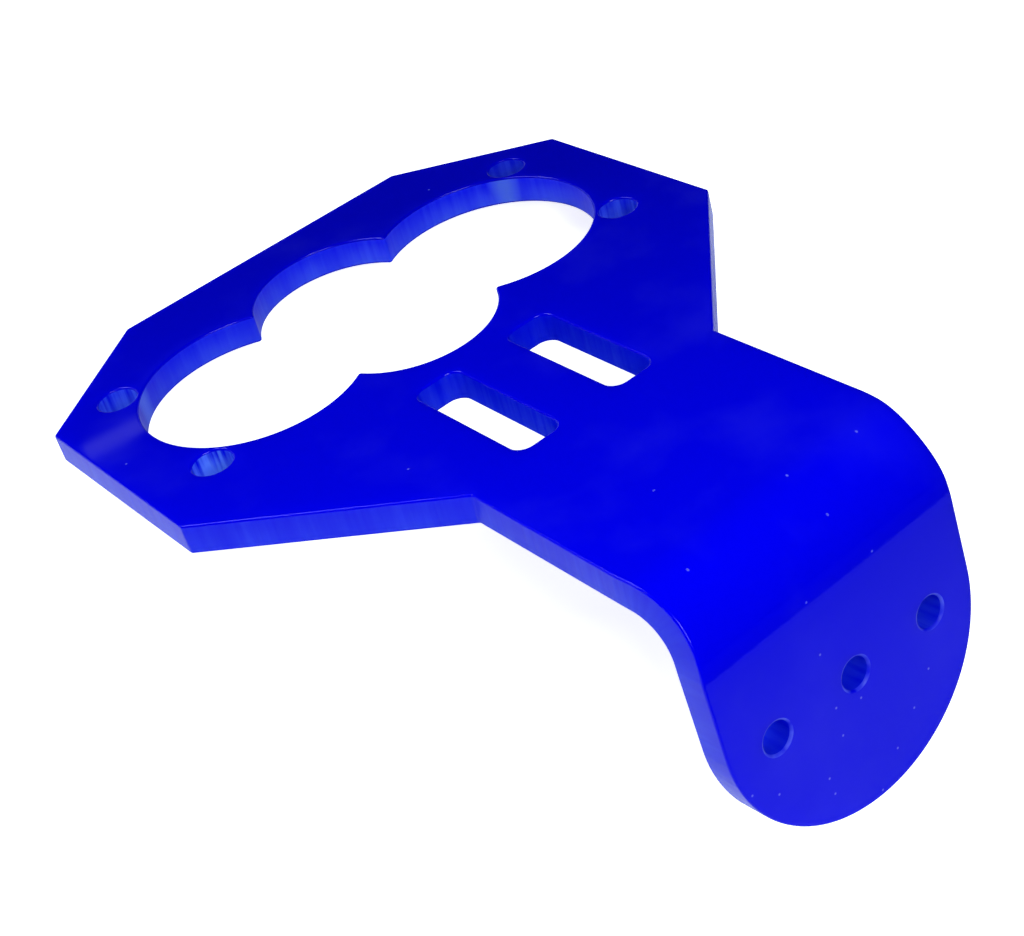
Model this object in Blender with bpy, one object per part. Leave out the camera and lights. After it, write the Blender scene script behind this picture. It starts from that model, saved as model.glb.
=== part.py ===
"""Bent acrylic bracket for a twin-eye ultrasonic distance sensor.

One sheet of acrylic is cut to an outline, then heat-bent once. The wide end is the
head, which carries the sensor. A straight neck runs from it to the bend, and the
short rounded tab beyond the bend is fastened to a servo arm or to a chassis.

The sheet is first made flat, with its face at z = 0, the sensor's two eyes on the
x axis and the tab towards -y. It is then bent downwards and laid down on the two
places it rests on: the head's front lower edge and the tip of the tab.
"""

import math

import bmesh
import bpy

# ---------------------------------------------------------------- sizes, in metres
SHEET_THICKNESS = 0.00275

# The opening for the sensor: two round eyes and a taller opening between them.
EYE_PITCH = 0.0260
EYE_RADIUS = 0.0101
CENTRE_RADIUS = 0.0082
CENTRE_REACH = 0.01325

# Four screw holes stand diagonally off the eyes, with a thin web left between.
SCREW_DIAMETER = 0.0035
SCREW_WEB = 0.0004
SCREW_ANGLE = math.radians(41.7)

# The head's eight-sided outline, as rims outside the opening and corner places.
FRONT_RIM = 0.00505
SIDE_RIM = 0.0053
FRONT_EDGE_WIDTH = 0.0310
SIDE_FRONT_CORNER = 0.0084
SIDE_REAR_CORNER = 0.0135

# Two slots for cable ties or for sliding screws.
SLOT_PITCH = 0.0097
SLOT_WIDTH = 0.0044
SLOT_LENGTH = 0.0141
SLOT_CORNER_RADIUS = 0.0012
SLOT_SETBACK = 0.00225
SLOT_TO_NECK = 0.0009

# The neck, the bend and the tab share one width.
NECK_WIDTH = 0.0251
NECK_LENGTH = 0.0170
BEND_INNER_RADIUS = 0.0034
BEND_ANGLE = math.radians(84.0)
TAB_STRAIGHT = 0.0076

# Stretching narrows the strip at the bend, most of all along its outer face.
OUTER_EDGE_DRAW = 0.00045
INNER_EDGE_DRAW = 0.00005
EDGE_RUN_OUT = 0.0015

# Three holes in a row across the tab.
TAB_HOLE_DIAMETER = 0.0026
TAB_HOLE_PITCH = 0.0080
TAB_HOLE_SETBACK = 0.0087

# ---------------------------------------------------------------- how finely it is cut
LARGE_ARC_STEPS = 96
SMALL_ARC_STEPS = 40
CORNER_STEPS = 6
TAB_END_STEPS = 48
BEND_SLICES = 28
CUTTER_OVERSHOOT = 0.001
WELD_DISTANCE = 0.000001
FLAT_ANGLE = math.radians(0.05)
SHARP_ANGLE = math.radians(30.0)

# ---------------------------------------------------------------- values that follow
HEAD_HALF_WIDTH = EYE_PITCH / 2 + EYE_RADIUS + SIDE_RIM
FRONT_EDGE_Y = CENTRE_REACH + FRONT_RIM
SLOT_FRONT_Y = -(CENTRE_REACH + SLOT_SETBACK)
NOTCH_Y = SLOT_FRONT_Y - SLOT_LENGTH - SLOT_TO_NECK
BEND_START_Y = NOTCH_Y - NECK_LENGTH

SCREW_STANDOFF = EYE_RADIUS + SCREW_WEB + SCREW_DIAMETER / 2
SCREW_X = EYE_PITCH / 2 + SCREW_STANDOFF * math.cos(SCREW_ANGLE)
SCREW_Y = SCREW_STANDOFF * math.sin(SCREW_ANGLE)

BEND_OUTER_RADIUS = BEND_INNER_RADIUS + SHEET_THICKNESS
BEND_MIDDLE_RADIUS = BEND_INNER_RADIUS + SHEET_THICKNESS / 2
BEND_LENGTH = BEND_MIDDLE_RADIUS * BEND_ANGLE
BEND_END_Y = BEND_START_Y - BEND_LENGTH
TAB_END_CENTRE_Y = BEND_END_Y - TAB_STRAIGHT
TAB_HOLE_Y = BEND_END_Y - TAB_HOLE_SETBACK


def clear_scene():
    """Remove every object, so that the file holds only this model."""
    for obj in list(bpy.data.objects):
        bpy.data.objects.remove(obj, do_unlink=True)


def new_collection(name):
    collection = bpy.data.collections.new(name)
    bpy.context.scene.collection.children.link(collection)
    return collection


def blue_acrylic():
    """Deep translucent blue acrylic sheet with its glossy cast faces."""
    material = bpy.data.materials.new("blue_acrylic")
    material.use_nodes = True
    shader = material.node_tree.nodes["Principled BSDF"]
    shader.inputs["Base Color"].default_value = (0.0, 0.0, 0.55, 1.0)
    shader.inputs["Roughness"].default_value = 0.08
    shader.inputs["Metallic"].default_value = 0.0
    shader.inputs["IOR"].default_value = 1.49
    material.diffuse_color = (0.0, 0.0, 0.55, 1.0)
    return material


def arc(centre_x, centre_y, radius, start, sweep, steps):
    """Points along an arc, both ends included."""
    angles = [start + sweep * i / steps for i in range(steps + 1)]
    return [(centre_x + radius * math.cos(a), centre_y + radius * math.sin(a)) for a in angles]


def blank_outline():
    """The flat sheet's outline, anticlockwise from the head's front right corner."""
    front = FRONT_EDGE_WIDTH / 2
    side = HEAD_HALF_WIDTH
    neck = NECK_WIDTH / 2
    left_head = [
        (front, FRONT_EDGE_Y),
        (-front, FRONT_EDGE_Y),
        (-side, SIDE_FRONT_CORNER),
        (-side, -SIDE_REAR_CORNER),
        (-neck, NOTCH_Y),
    ]
    tab_end = arc(0.0, TAB_END_CENTRE_Y, neck, math.pi, math.pi, TAB_END_STEPS)
    right_head = [
        (neck, NOTCH_Y),
        (side, -SIDE_REAR_CORNER),
        (side, SIDE_FRONT_CORNER),
    ]
    return left_head + tab_end + right_head


def centre_outline():
    """The middle opening: straight sides with a half circle at each end."""
    end_y = CENTRE_REACH - CENTRE_RADIUS
    half = LARGE_ARC_STEPS // 2
    front = arc(0.0, end_y, CENTRE_RADIUS, 0.0, math.pi, half)
    rear = arc(0.0, -end_y, CENTRE_RADIUS, math.pi, math.pi, half)
    return front + rear


def slot_outline(centre_x):
    """A rectangle with rounded corners, lying behind the middle opening."""
    reach_x = SLOT_WIDTH / 2 - SLOT_CORNER_RADIUS
    reach_y = SLOT_LENGTH / 2 - SLOT_CORNER_RADIUS
    centre_y = SLOT_FRONT_Y - SLOT_LENGTH / 2
    corners = [(1, 1), (-1, 1), (-1, -1), (1, -1)]
    points = []
    for quarter, (side_x, side_y) in enumerate(corners):
        corner_x = centre_x + side_x * reach_x
        corner_y = centre_y + side_y * reach_y
        start = quarter * math.pi / 2
        points += arc(corner_x, corner_y, SLOT_CORNER_RADIUS, start, math.pi / 2, CORNER_STEPS)
    return points


def extruded_outline(name, points, thickness, collection):
    """A closed solid from a flat outline, centred on the sheet's mid-plane."""
    curve = bpy.data.curves.new(name + "_outline", "CURVE")
    curve.dimensions = "2D"
    curve.fill_mode = "BOTH"
    curve.extrude = thickness / 2
    spline = curve.splines.new("POLY")
    spline.points.add(len(points) - 1)
    for target, (x, y) in zip(spline.points, points):
        target.co = (x, y, 0.0, 1.0)
    spline.use_cyclic_u = True
    guide = bpy.data.objects.new(name + "_outline", curve)
    guide.location.z = -SHEET_THICKNESS / 2
    bpy.context.scene.collection.objects.link(guide)
    bpy.context.view_layer.update()

    evaluated = guide.evaluated_get(bpy.context.evaluated_depsgraph_get())
    mesh = bpy.data.meshes.new_from_object(evaluated)
    mesh.name = name
    work = bmesh.new()
    work.from_mesh(mesh)
    bmesh.ops.remove_doubles(work, verts=work.verts, dist=WELD_DISTANCE)
    work.to_mesh(mesh)
    work.free()

    solid = bpy.data.objects.new(name, mesh)
    solid.matrix_world = guide.matrix_world
    bpy.data.objects.remove(guide, do_unlink=True)
    collection.objects.link(solid)
    return solid


def hide_cutter(cutter):
    cutter.display_type = "WIRE"
    cutter.hide_render = True


def round_cutter(name, x, y, radius, steps, collection):
    """A cylinder through the sheet."""
    depth = SHEET_THICKNESS + 2 * CUTTER_OVERSHOOT
    centre = (x, y, -SHEET_THICKNESS / 2)
    bpy.ops.mesh.primitive_cylinder_add(vertices=steps, radius=radius, depth=depth, location=centre)
    cutter = bpy.context.object
    cutter.name = name
    for owner in list(cutter.users_collection):
        owner.objects.unlink(cutter)
    collection.objects.link(cutter)
    hide_cutter(cutter)
    return cutter


def outline_cutter(name, points, collection):
    cutter = extruded_outline(name, points, SHEET_THICKNESS + 2 * CUTTER_OVERSHOOT, collection)
    hide_cutter(cutter)
    return cutter


def sensor_opening_cutters(collection):
    """The two eyes and the opening between them, which run into each other."""
    cutters = [outline_cutter("centre_cutter", centre_outline(), collection)]
    for side in (-1, 1):
        x = side * EYE_PITCH / 2
        cutters.append(round_cutter("eye_cutter", x, 0.0, EYE_RADIUS, LARGE_ARC_STEPS, collection))
    return cutters


def screw_cutters(collection):
    """Four holes for the sensor's screws."""
    cutters = []
    for side_x in (-1, 1):
        for side_y in (-1, 1):
            x = side_x * SCREW_X
            y = side_y * SCREW_Y
            radius = SCREW_DIAMETER / 2
            cutters.append(round_cutter("screw_cutter", x, y, radius, SMALL_ARC_STEPS, collection))
    return cutters


def slot_cutters(collection):
    cutters = []
    for side in (-1, 1):
        points = slot_outline(side * SLOT_PITCH / 2)
        cutters.append(outline_cutter("slot_cutter", points, collection))
    return cutters


def tab_hole_cutters(collection):
    """Three holes in a row, the middle one on the centre line."""
    cutters = []
    for step in (-1, 0, 1):
        x = step * TAB_HOLE_PITCH
        radius = TAB_HOLE_DIAMETER / 2
        cutter = round_cutter("tab_hole_cutter", x, TAB_HOLE_Y, radius, SMALL_ARC_STEPS, collection)
        cutters.append(cutter)
    return cutters


def cut_through(solid, cutters):
    """Cut every opening from the flat sheet, then keep the result as its mesh."""
    for cutter in cutters:
        cut = solid.modifiers.new(cutter.name, "BOOLEAN")
        cut.operation = "DIFFERENCE"
        cut.solver = "EXACT"
        cut.object = cutter
    bpy.context.view_layer.update()
    evaluated = solid.evaluated_get(bpy.context.evaluated_depsgraph_get())
    mesh = bpy.data.meshes.new_from_object(evaluated)
    flat_mesh = solid.data
    mesh.name = flat_mesh.name
    mesh.transform(solid.matrix_world)
    solid.modifiers.clear()
    solid.data = mesh
    solid.matrix_world.identity()
    bpy.data.meshes.remove(flat_mesh)


def edge_draw(distance, depth):
    """How far the sheet's side edge moves in at this distance along the bend."""
    run = BEND_LENGTH + 2 * EDGE_RUN_OUT
    share = (distance + EDGE_RUN_OUT) / run
    if share <= 0.0 or share >= 1.0:
        return 0.0
    swell = math.sin(math.pi * share) ** 2
    depth_share = depth / SHEET_THICKNESS
    return swell * (OUTER_EDGE_DRAW + (INNER_EDGE_DRAW - OUTER_EDGE_DRAW) * depth_share)


def bent(point):
    """Where a point of the flat sheet goes when the tab is bent down."""
    distance = BEND_START_Y - point.y
    depth = -point.z
    turned = min(max(distance / BEND_MIDDLE_RADIUS, 0.0), BEND_ANGLE)
    straight = distance - turned * BEND_MIDDLE_RADIUS
    radius = BEND_OUTER_RADIUS - depth
    outward = point.x / (NECK_WIDTH / 2)
    x = point.x - edge_draw(distance, depth) * outward ** 3
    y = BEND_START_Y - radius * math.sin(turned) - straight * math.cos(turned)
    z = -BEND_OUTER_RADIUS + radius * math.cos(turned) - straight * math.sin(turned)
    return (x, y, z)


def slice_across(work, y):
    """Cut the mesh's faces along a line across the strip, without opening it."""
    everything = work.verts[:] + work.edges[:] + work.faces[:]
    bmesh.ops.bisect_plane(work, geom=everything, plane_co=(0.0, y, 0.0), plane_no=(0.0, 1.0, 0.0))


def bend_tab(solid):
    """Slice the strip across the bend and bend it about a line under its face."""
    work = bmesh.new()
    work.from_mesh(solid.data)
    bmesh.ops.remove_doubles(work, verts=work.verts, dist=WELD_DISTANCE)
    bmesh.ops.dissolve_limit(work, angle_limit=FLAT_ANGLE, verts=work.verts, edges=work.edges)
    first = BEND_START_Y + EDGE_RUN_OUT
    run = BEND_LENGTH + 2 * EDGE_RUN_OUT
    for i in range(BEND_SLICES + 1):
        slice_across(work, first - run * i / BEND_SLICES)
    slice_across(work, BEND_START_Y)
    slice_across(work, BEND_END_Y)
    for vert in work.verts:
        vert.co = bent(vert.co)
    bmesh.ops.recalc_face_normals(work, faces=work.faces)
    work.to_mesh(solid.data)
    work.free()


def rest_tilt():
    """How far the head leans when its front lower edge and the tab's tip both touch down."""
    tab_length = TAB_STRAIGHT + NECK_WIDTH / 2
    tip_y = BEND_START_Y - BEND_INNER_RADIUS * math.sin(BEND_ANGLE) - tab_length * math.cos(BEND_ANGLE)
    tip_z = -BEND_OUTER_RADIUS + BEND_INNER_RADIUS * math.cos(BEND_ANGLE)
    tip_z -= tab_length * math.sin(BEND_ANGLE)
    drop = -SHEET_THICKNESS - tip_z
    return math.atan2(drop, FRONT_EDGE_Y - tip_y)


def lay_down(solid):
    """Lay the bracket on the ground, centred on the z axis."""
    solid.rotation_euler = (-rest_tilt(), 0.0, 0.0)
    bpy.context.view_layer.update()
    corners = [solid.matrix_world @ vert.co for vert in solid.data.vertices]
    lowest = min(corner.z for corner in corners)
    middle = (min(corner.y for corner in corners) + max(corner.y for corner in corners)) / 2
    solid.location = (0.0, -middle, -lowest)


def shade(solid, material):
    """Smooth round the arcs and the bend, sharp at the sheet's edges."""
    solid.data.materials.clear()
    solid.data.materials.append(material)
    solid.data.shade_smooth()
    solid.data.set_sharp_from_angle(angle=SHARP_ANGLE)


def sensor_bracket(parts, cutters_collection):
    """The whole bracket: one piece of sheet, cut out and bent."""
    solid = extruded_outline("sensor_bracket", blank_outline(), SHEET_THICKNESS, parts)
    cutters = sensor_opening_cutters(cutters_collection)
    cutters += screw_cutters(cutters_collection)
    cutters += slot_cutters(cutters_collection)
    cutters += tab_hole_cutters(cutters_collection)
    cut_through(solid, cutters)
    bend_tab(solid)
    lay_down(solid)
    shade(solid, blue_acrylic())
    return solid


def main():
    clear_scene()
    parts = new_collection("ultrasonic_sensor_bracket")
    cutters_collection = new_collection("cutters")
    sensor_bracket(parts, cutters_collection)


main()
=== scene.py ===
"""Looks of the bent acrylic sensor bracket: its finished sheet, its acrylic and its studio.

The bracket is one sheet of blue cast acrylic. It is laser-cut flat, its edges are eased,
and its tab is bent down over a hot wire. The operators below follow that order, and the
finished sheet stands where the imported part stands.
"""

import math

import bpy
from bpy.props import (
    FloatProperty, FloatVectorProperty, IntProperty, PointerProperty, StringProperty,
)
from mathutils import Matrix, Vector


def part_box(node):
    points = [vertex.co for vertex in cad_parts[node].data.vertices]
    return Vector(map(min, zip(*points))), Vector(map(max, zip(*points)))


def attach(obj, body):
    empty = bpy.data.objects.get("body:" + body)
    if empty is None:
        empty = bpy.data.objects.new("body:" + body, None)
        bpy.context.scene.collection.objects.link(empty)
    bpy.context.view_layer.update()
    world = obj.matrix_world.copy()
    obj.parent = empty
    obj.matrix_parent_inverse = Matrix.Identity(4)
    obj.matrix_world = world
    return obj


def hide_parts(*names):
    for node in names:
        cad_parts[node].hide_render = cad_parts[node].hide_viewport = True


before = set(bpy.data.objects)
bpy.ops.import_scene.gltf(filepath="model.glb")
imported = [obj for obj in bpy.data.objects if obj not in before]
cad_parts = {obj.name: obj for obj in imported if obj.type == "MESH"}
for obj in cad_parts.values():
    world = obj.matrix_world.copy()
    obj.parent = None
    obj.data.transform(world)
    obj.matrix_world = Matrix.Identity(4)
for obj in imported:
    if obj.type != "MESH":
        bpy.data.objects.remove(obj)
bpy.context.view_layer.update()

bl_info = {
    "name": "Acrylic Sensor Bracket",
    "version": (1, 0, 0),
    "blender": (4, 5, 0),
    "location": "View3D > Sidebar > Bracket",
    "description": "Cuts and bends an acrylic bracket for a twin-eye distance sensor and lights it",
    "category": "Object",
}

MM = 0.001
PART_NODE = "sensor_bracket"
BODY = "root"
NODE_LOW, NODE_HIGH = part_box(PART_NODE)

# Names of the values that the sheet carries from the flat state to its materials.
FLAT_PLACE = "flat_place"
FLAT_LEAN = "flat_lean"
OPENING = "opening"
EDGE_WEIGHT = "bevel_weight_edge"

# What a wall belongs to, as the value that OPENING has on it. The outline has 0.
WINDOW, SLOT, SCREW_HOLE, TAB_HOLE = 1.0, 2.0, 3.0, 4.0
# Kinds are whole numbers, so half of one tells neighbours apart.
HALF_KIND = 0.5

# Cutters stand this far out of both faces, and welded points are this close.
CUTTER_OVERSHOOT = 1.0 * MM
WELD_DISTANCE = 0.001 * MM

# How finely round shapes are divided.
TAB_END_STEPS = 96
EYE_STEPS = 64
LOBE_STEPS = 40
CUSP_STEPS = 8
SLOT_CORNER_STEPS = 10
TAB_HOLE_SIDES = 56
SCREW_HOLE_SIDES = 72
FLOOR_SIDES = 128
EASE_SEGMENTS = 3

# An edge that turns more than this is a corner or a rim, and is eased.
LEAST_CORNER = math.radians(20.0)

# A rim is what leans more than a wall and less than a face: |z| of its flat normal.
RIM_LEAN = math.radians(8.0)
RIM_STARTS = math.sin(RIM_LEAN)
RIM_ENDS = math.cos(RIM_LEAN)

# Node trees are laid out in rows.
NODES_PER_ROW = 12
NODE_WIDTH, NODE_HEIGHT = 180, 260

# Node settings that come up often.
MULTIPLY = {"operation": "MULTIPLY"}
MULTIPLY_ADD = {"operation": "MULTIPLY_ADD"}
COLOURS = {"data_type": "RGBA"}

WHITE = "#FFFFFF"
# Width of the camera's sensor, in millimetres.
SENSOR_WIDTH = 36.0


# ---------------------------------------------------------------- sizes and colours
def length(name, description, millimetres):
    """A length property, stored in metres."""
    return FloatProperty(
        name=name, description=description, default=millimetres * MM, unit="LENGTH", precision=5
    )


def power(name, description, watts):
    """A lamp's power."""
    return FloatProperty(
        name=name, description=description, default=watts, unit="POWER", precision=5
    )


def hex_colour(name, description, code):
    """A colour property, held as an sRGB hex value."""
    return StringProperty(name=name, description=description, default=code)


class BracketSizes(bpy.types.PropertyGroup):
    """Sizes of the cut-out and bent sheet."""

    sheet_thickness: length("Sheet Thickness", "Thickness of the acrylic sheet", 2.75)
    eye_pitch: length("Eye Pitch", "Distance between the centres of the two sensor eyes", 26.0)
    eye_radius: length("Eye Radius", "Radius of each round end of the sensor opening", 10.1)
    centre_radius: length("Centre Radius", "End radius of the middle lobe of the sensor opening", 8.2)
    centre_reach: length("Centre Reach", "How far the middle lobe reaches from the eyes' axis", 13.25)
    screw_diameter: length("Screw Diameter", "Diameter of the four sensor screw holes", 3.5)
    screw_web: length("Screw Web", "Sheet left between a screw hole and its eye", 0.4)
    screw_angle: FloatProperty(
        name="Screw Angle", description="Direction of a screw hole from its eye's centre",
        default=math.radians(41.7), subtype="ANGLE", unit="ROTATION",
    )
    front_rim: length("Front Rim", "Sheet between the middle lobe and the head's front edge", 5.05)
    side_rim: length("Side Rim", "Sheet between an eye and the head's side edge", 5.3)
    front_edge_width: length("Front Edge Width", "Length of the head's straight front edge", 31.0)
    side_front_corner: length("Side Front Corner", "Front end of the side edge, from the eyes' axis", 8.4)
    side_rear_corner: length("Side Rear Corner", "Rear end of the side edge, from the eyes' axis", 13.5)
    slot_pitch: length("Slot Pitch", "Distance between the centre lines of the two slots", 9.7)
    slot_width: length("Slot Width", "Width of a slot", 4.4)
    slot_length: length("Slot Length", "Length of a slot", 14.1)
    slot_corner_radius: length("Slot Corner Radius", "Radius of a slot's corners", 1.2)
    slot_setback: length("Slot Setback", "Sheet between the middle lobe and the slots", 2.25)
    slot_to_neck: length("Slot To Neck", "From the slots' rear end to the neck's corners", 0.9)
    neck_width: length("Neck Width", "Width of the neck and of the tab", 25.1)
    neck_length: length("Neck Length", "Length of the straight neck before the bend", 17.0)
    bend_inner_radius: length("Bend Inner Radius", "Radius of the bend's hollow side", 3.4)
    bend_angle: FloatProperty(
        name="Bend Angle", description="Angle through which the tab is bent down",
        default=math.radians(84.0), subtype="ANGLE", unit="ROTATION",
    )
    tab_straight: length("Tab Straight", "Straight part of the tab before its round end", 7.6)
    outer_edge_draw: length("Outer Edge Draw", "How far the bend's stretched face draws in", 0.45)
    inner_edge_draw: length("Inner Edge Draw", "How far the bend's hollow face draws in", 0.05)
    edge_run_out: length("Edge Run Out", "How far the draw runs on past the bend", 1.5)
    tab_hole_diameter: length("Tab Hole Diameter", "Diameter of the three holes in the tab", 2.6)
    tab_hole_pitch: length("Tab Hole Pitch", "Distance between neighbouring tab holes", 8.0)
    tab_hole_setback: length("Tab Hole Setback", "From the end of the bend to the row of holes", 8.7)
    rim_ease: length("Rim Ease", "How far the rims between face and cut wall are eased", 0.2)
    corner_ease: length("Corner Ease", "How far the corners of the cut outline are eased", 0.2)
    cusp_ease: length("Cusp Ease", "Radius of the cusps between the sensor opening's lobes", 0.3)
    bend_steps: IntProperty(
        name="Bend Steps", description="Strips that the bend is divided into",
        default=40, min=4, max=120,
    )

    # Lengths that follow from the ones above, in the flat sheet's own frame: the
    # eyes' axis is y = 0, the tab is towards -y, and the face is z = 0.
    def head_half_width(self):
        return self.eye_pitch / 2 + self.eye_radius + self.side_rim

    def front_edge_y(self):
        return self.centre_reach + self.front_rim

    def slot_centre_y(self):
        return -(self.centre_reach + self.slot_setback + self.slot_length / 2)

    def notch_y(self):
        return self.slot_centre_y() - self.slot_length / 2 - self.slot_to_neck

    def bend_start_y(self):
        return self.notch_y() - self.neck_length

    def bend_outer_radius(self):
        return self.bend_inner_radius + self.sheet_thickness

    def bend_middle_radius(self):
        return self.bend_inner_radius + self.sheet_thickness / 2

    def bend_length(self):
        return self.bend_middle_radius() * self.bend_angle

    def bend_end_y(self):
        return self.bend_start_y() - self.bend_length()

    def tab_end_centre_y(self):
        return self.bend_end_y() - self.tab_straight

    def screw_place(self):
        standoff = self.eye_radius + self.screw_web + self.screw_diameter / 2
        across = self.eye_pitch / 2 + standoff * math.cos(self.screw_angle)
        return across, standoff * math.sin(self.screw_angle), 0.0

    def rest_tilt(self):
        """Lean of the head when its front edge and the tip of the tab both touch down."""
        tab = self.tab_straight + self.neck_width / 2
        turned_in = self.bend_inner_radius * math.sin(self.bend_angle)
        tip_y = self.bend_start_y() - turned_in - tab * math.cos(self.bend_angle)
        tip_z = self.bend_inner_radius * math.cos(self.bend_angle) - self.bend_outer_radius()
        tip_z -= tab * math.sin(self.bend_angle)
        return math.atan2(-self.sheet_thickness - tip_z, self.front_edge_y() - tip_y)

    def resting_place(self):
        """Where the flat frame's origin stands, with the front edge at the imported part's."""
        tilt = self.rest_tilt()
        y = NODE_HIGH[1] - self.front_edge_y() * math.cos(tilt)
        z = NODE_LOW[2] + self.front_edge_y() * math.sin(tilt)
        z += self.sheet_thickness * math.cos(tilt)
        return Vector((0.0, y, z))


class AcrylicLook(bpy.types.PropertyGroup):
    """Colours of the acrylic, as sRGB hex values."""

    # Painted shade and painted light: the sheet's blue runs between these two colours as painted light
    # fills it.
    face_painted_shade: hex_colour("Face Painted Shade", "Dye colour where the face looks deepest", "#0000B8")
    face_painted_light: hex_colour("Face Bright", "Dye colour where light fills the sheet", "#0000F3")
    # The walls' blue runs from the face's painted shade colour to these body colours by painted light.
    wall_blue: hex_colour("Wall Blue", "Body colour of the laser-cut walls", "#0414E8")
    wall_frost: hex_colour("Wall Frost", "Colour of the frosted ridges on the walls", "#2A48FA")
    window_frost: hex_colour("Window Frost", "Colour of the ridges in the sensor opening", "#4A6CFC")
    # Painted shade: a deeper blue than the outline's walls, for the shade inside the slots and holes.
    hole_blue: hex_colour("Hole Blue", "Body colour of the walls of the slots and holes", "#0210DC")
    hole_frost: hex_colour("Hole Frost", "Colour of the ridges in the slots and holes", "#5480FF")
    # Painted highlight: the pale colour painted on the rims round the tab's holes.
    rim_painted_highlight: hex_colour("Rim Painted Highlight", "Melted rim round the holes", "#4A5AF5")
    dust: hex_colour("Dust", "Colour of dust and lint on the sheet", "#9AA4F0")


class StudioSetup(bpy.types.PropertyGroup):
    """Floor, lamps and camera."""

    floor_colour: hex_colour("Floor Colour", "Colour of the pale studio floor", "#EEF8FA")
    beyond_colour: hex_colour("Beyond Colour", "Colour of what lies past the lit paper", "#202226")
    surround_colour: hex_colour(
        "Surround Colour", "Colour of the dark room that the acrylic mirrors", "#1D2229"
    )
    paper_end: length("Paper End", "Where the lit paper ends in front of the tab", -89.0)
    floor_radius: FloatProperty(
        name="Floor Radius", description="Radius of the studio floor", default=4.0, unit="LENGTH",
    )
    camera_place: FloatVectorProperty(
        name="Camera Place", description="Where the camera stands", size=3,
        default=(-0.06590, -0.07829, 0.12431), subtype="TRANSLATION", unit="LENGTH",
    )
    camera_turn: FloatVectorProperty(
        name="Camera Turn", description="Which way the camera is turned", size=3,
        default=(math.radians(40.490), math.radians(1.857), math.radians(-41.081)),
        subtype="EULER", unit="ROTATION",
    )
    camera_lens: FloatProperty(
        name="Camera Lens", description="Focal length in millimetres", default=66.38,
    )
    key_power: power("Key Power", "Power of the soft box in front on the left", 1.3)
    streak_power: power("Streak Power", "Power of the strip that the head's corner mirrors", 0.00022)
    fill_power: power("Fill Power", "Power of the soft box behind on the left", 1.6)


# ---------------------------------------------------------------- small helpers
def linear_colour(code):
    """An sRGB hex value as linear red, green, blue and alpha."""
    channels = [int(code[i:i + 2], 16) / 255 for i in (1, 3, 5)]
    linear = [c / 12.92 if c <= 0.04045 else ((c + 0.055) / 1.055) ** 2.4 for c in channels]
    return (*linear, 1.0)


def add_node(tree, kind, settings=None, inputs=None):
    """Add a node, set its settings, link or set its inputs, and give back its outputs."""
    node = tree.nodes.new(kind)
    row, column = divmod(len(tree.nodes), NODES_PER_ROW)
    node.location = (NODE_WIDTH * column, -NODE_HEIGHT * row)
    for name, value in (settings or {}).items():
        setattr(node, name, value)
    for key, value in (inputs or {}).items():
        sources = value if isinstance(value, list) else [value]
        for source in sources:
            if isinstance(source, bpy.types.NodeSocket):
                tree.links.new(source, node.inputs[key])
            else:
                node.inputs[key].default_value = source
    return node.outputs


def new_tree(name, sockets):
    """An empty node tree with a geometry input and named inputs, and those inputs' sockets."""
    tree = bpy.data.node_groups.new(name, "GeometryNodeTree")
    tree.is_modifier = True
    tree.interface.new_socket("Geometry", in_out="INPUT", socket_type="NodeSocketGeometry")
    tree.interface.new_socket("Geometry", in_out="OUTPUT", socket_type="NodeSocketGeometry")
    for kind, names in sockets.items():
        for socket_name in names:
            tree.interface.new_socket(socket_name, in_out="INPUT", socket_type=kind)
    return tree, add_node(tree, "NodeGroupInput")


def add_tree(obj, tree, values):
    """Put the tree on the object as a modifier, and give its named inputs their values."""
    modifier = obj.modifiers.new(tree.name, "NODES")
    modifier.node_group = tree
    for item in tree.interface.items_tree:
        if item.name in values:
            modifier[item.identifier] = values[item.name]


def shape_of(name, obj):
    """The object's evaluated shape as a new plain mesh object. The old object is removed."""
    bpy.context.view_layer.update()
    evaluated = obj.evaluated_get(bpy.context.evaluated_depsgraph_get())
    mesh = bpy.data.meshes.new_from_object(evaluated)
    bpy.data.objects.remove(obj, do_unlink=True)
    mesh.name = name
    for index in reversed(range(len(mesh.materials))):
        if mesh.materials[index] is None:
            mesh.materials.pop(index=index)
    shape = bpy.data.objects.new(name, mesh)
    bpy.context.scene.collection.objects.link(shape)
    return shape


# ---------------------------------------------------------------- the sheet's blank
def arc(centre_x, centre_y, radius, start, sweep, steps):
    """Points along an arc, both ends included."""
    angles = [start + sweep * i / steps for i in range(steps + 1)]
    return [(centre_x + radius * math.cos(a), centre_y + radius * math.sin(a)) for a in angles]


def blank_cells(sizes):
    """The blank as closed outlines side by side: head, neck, narrow strips and tab end."""
    half = sizes.neck_width / 2
    side = sizes.head_half_width()
    front = sizes.front_edge_width / 2
    notch = sizes.notch_y()
    right = [
        (front, sizes.front_edge_y()),
        (side, sizes.side_front_corner),
        (side, -sizes.side_rear_corner),
        (half, notch),
    ]
    left = [(-x, y) for x, y in right]
    head = [right[0]] + left + right[:0:-1]
    first = sizes.bend_start_y() + sizes.edge_run_out
    last = sizes.bend_end_y() - sizes.edge_run_out
    lines = [first + (last - first) * i / sizes.bend_steps for i in range(sizes.bend_steps + 1)]
    lines = [notch] + lines + [sizes.tab_end_centre_y()]
    strips = []
    for upper, lower in zip(lines, lines[1:]):
        strips.append([(half, upper), (-half, upper), (-half, lower), (half, lower)])
    tab_end = arc(0.0, sizes.tab_end_centre_y(), half, math.pi, math.pi, TAB_END_STEPS)
    return [head] + strips + [tab_end]


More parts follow.
